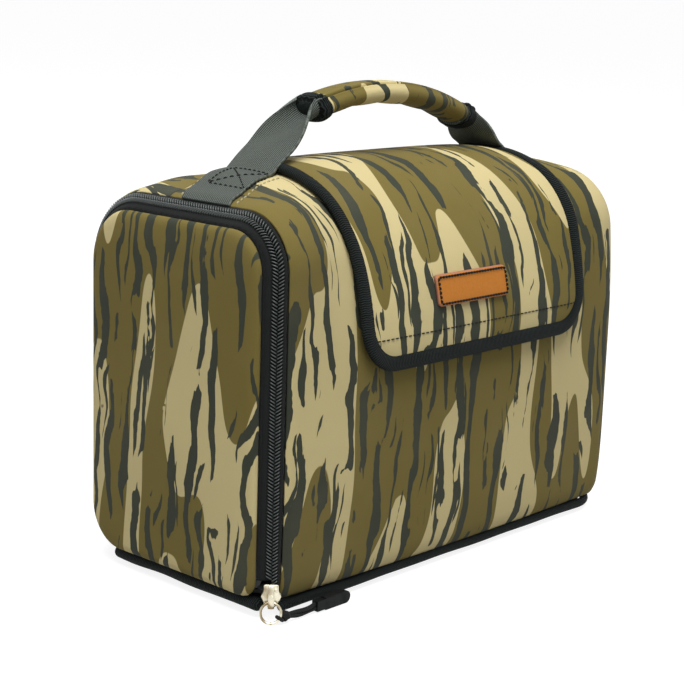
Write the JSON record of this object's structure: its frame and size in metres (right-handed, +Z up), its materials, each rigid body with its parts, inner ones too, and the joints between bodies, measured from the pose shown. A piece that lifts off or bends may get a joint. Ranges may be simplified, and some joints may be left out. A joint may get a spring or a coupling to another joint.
{
  "type": "zip-end soft box bag",
  "caption": "Soft foam-backed box bag with a zip-round hinged end panel, a front hatch under a bound flap, and a webbing handle with a wrapped grip.",
  "frame": {"origin": "middle of the base, on the surface that the bag stands on", "axes": "+X along the bag from the zip end to the closed end, -Y towards the front with the flap, +Z up"},
  "size_m": [0.3006, 0.1561, 0.2567],
  "materials": {
    "camo_fabric": "foam-backed knit with a tan, olive and charcoal print",
    "black_webbing": "woven webbing",
    "black_binding": "ribbed grosgrain binding",
    "base_fabric": "coated pack cloth",
    "lining": "grey coated lining",
    "board": "stiffening sheet",
    "zip_tape": "woven zip tape",
    "zip_coil": "nylon coil",
    "nickel": "satin nickel",
    "cord": "braided cord",
    "tab_rubber": "moulded rubber",
    "badge": "tan leather with a stitched edge",
    "hook_loop": "hook and loop tape"
  },
  "bodies": {
    "bag": {"front_shell": "camo_fabric", "back_shell": "camo_fabric", "closed_end_panel": "camo_fabric", "base_panel": "base_fabric", "base_board": "board", "base_binding": "black_binding", "top_seam": "camo_fabric", "sleeve_lining": "lining", "hatch_binding": "black_binding", "flap_loop_strip": "hook_loop", "flap_root": "camo_fabric", "flap_root_bindings": "black_binding", "zip_tape_body": "zip_tape", "zip_teeth_body": "zip_coil", "strap_anchor_left": "black_webbing", "strap_anchor_right": "black_webbing"},
    "zip_panel": {"zip_panel": "camo_fabric", "panel_lining": "lining", "panel_hinge_roll": "black_binding", "zip_tape_panel": "zip_tape", "zip_teeth_panel": "zip_coil"},
    "flap": {"flap_shell": "camo_fabric", "flap_binding": "black_binding", "flap_hook_strip": "hook_loop", "flap_badge": "badge"},
    "handle": {"strap_left": "black_webbing", "strap_right": "black_webbing", "grip_core": "black_webbing", "grip_wrap": "camo_fabric", "grip_binding_left": "black_binding", "grip_binding_right": "black_binding"},
    "slider": {"zip_slider": "nickel"},
    "ring": {"pull_ring": "nickel"},
    "puller": {"pull_knot": "cord", "pull_cord": "cord", "pull_tab": "tab_rubber"}
  },
  "joints": [
    {"name": "panel_hinge", "type": "hinge", "parent": "bag", "child": "zip_panel", "pos_m": [-0.148, 0, 0.0069], "axis": [0, -1, 0], "range_deg": [0, 80]},
    {"name": "flap_hinge", "type": "hinge", "parent": "bag", "child": "flap", "pos_m": [0, -0.0239, 0.2152], "axis": [-1, 0, 0], "range_deg": [0, 105]},
    {"name": "handle_tilt", "type": "hinge", "parent": "bag", "child": "handle", "pos_m": [0, 0, 0.23], "axis": [-1, 0, 0], "range_deg": [-35, 35]},
    {"name": "slider_travel", "type": "slide", "parent": "bag", "child": "slider", "axis": [0, 0, 1], "range_m": [0, 0.14]},
    {"name": "ring_swing", "type": "hinge", "parent": "slider", "child": "ring", "pos_m": [-0.14744, -0.07094, 0.0102], "axis": [-0.7071, 0.7071, 0], "range_deg": [0, 45]},
    {"name": "pull_swing", "type": "hinge", "parent": "ring", "child": "puller", "pos_m": [-0.1466, -0.07635, 0.00327], "axis": [-0.6127, 0.095, -0.7846], "range_deg": [0, 80]}
  ]
}
